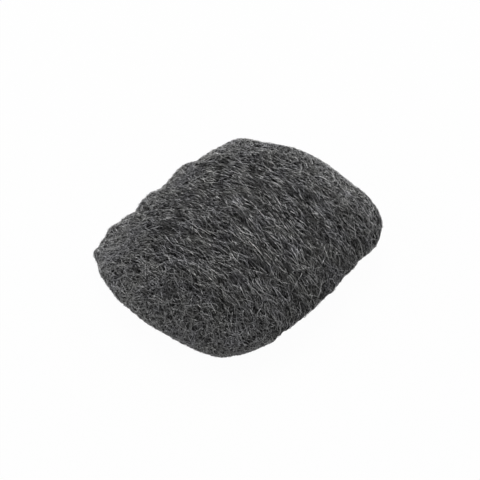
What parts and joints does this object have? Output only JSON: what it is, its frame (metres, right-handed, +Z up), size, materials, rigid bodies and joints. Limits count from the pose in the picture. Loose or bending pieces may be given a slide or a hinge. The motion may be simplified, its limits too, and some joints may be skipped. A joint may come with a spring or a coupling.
{
  "type": "steel wool pad",
  "caption": "Pillow-shaped scouring pad of felted fine steel strands, with a domed top, rounded long edges, tapered thin corner and a flat underside.",
  "frame": {"origin": "middle of the pad's box at the surface that it lies on", "axes": "+X along the long way of the pad, +Y towards its back edge, +Z up through its thickness"},
  "size_m": [0.104, 0.088, 0.026],
  "materials": {
    "steel_wool": "satin"
  },
  "bodies": {
    "root": {"wool_pad": "steel_wool"}
  },
  "joints": []
}
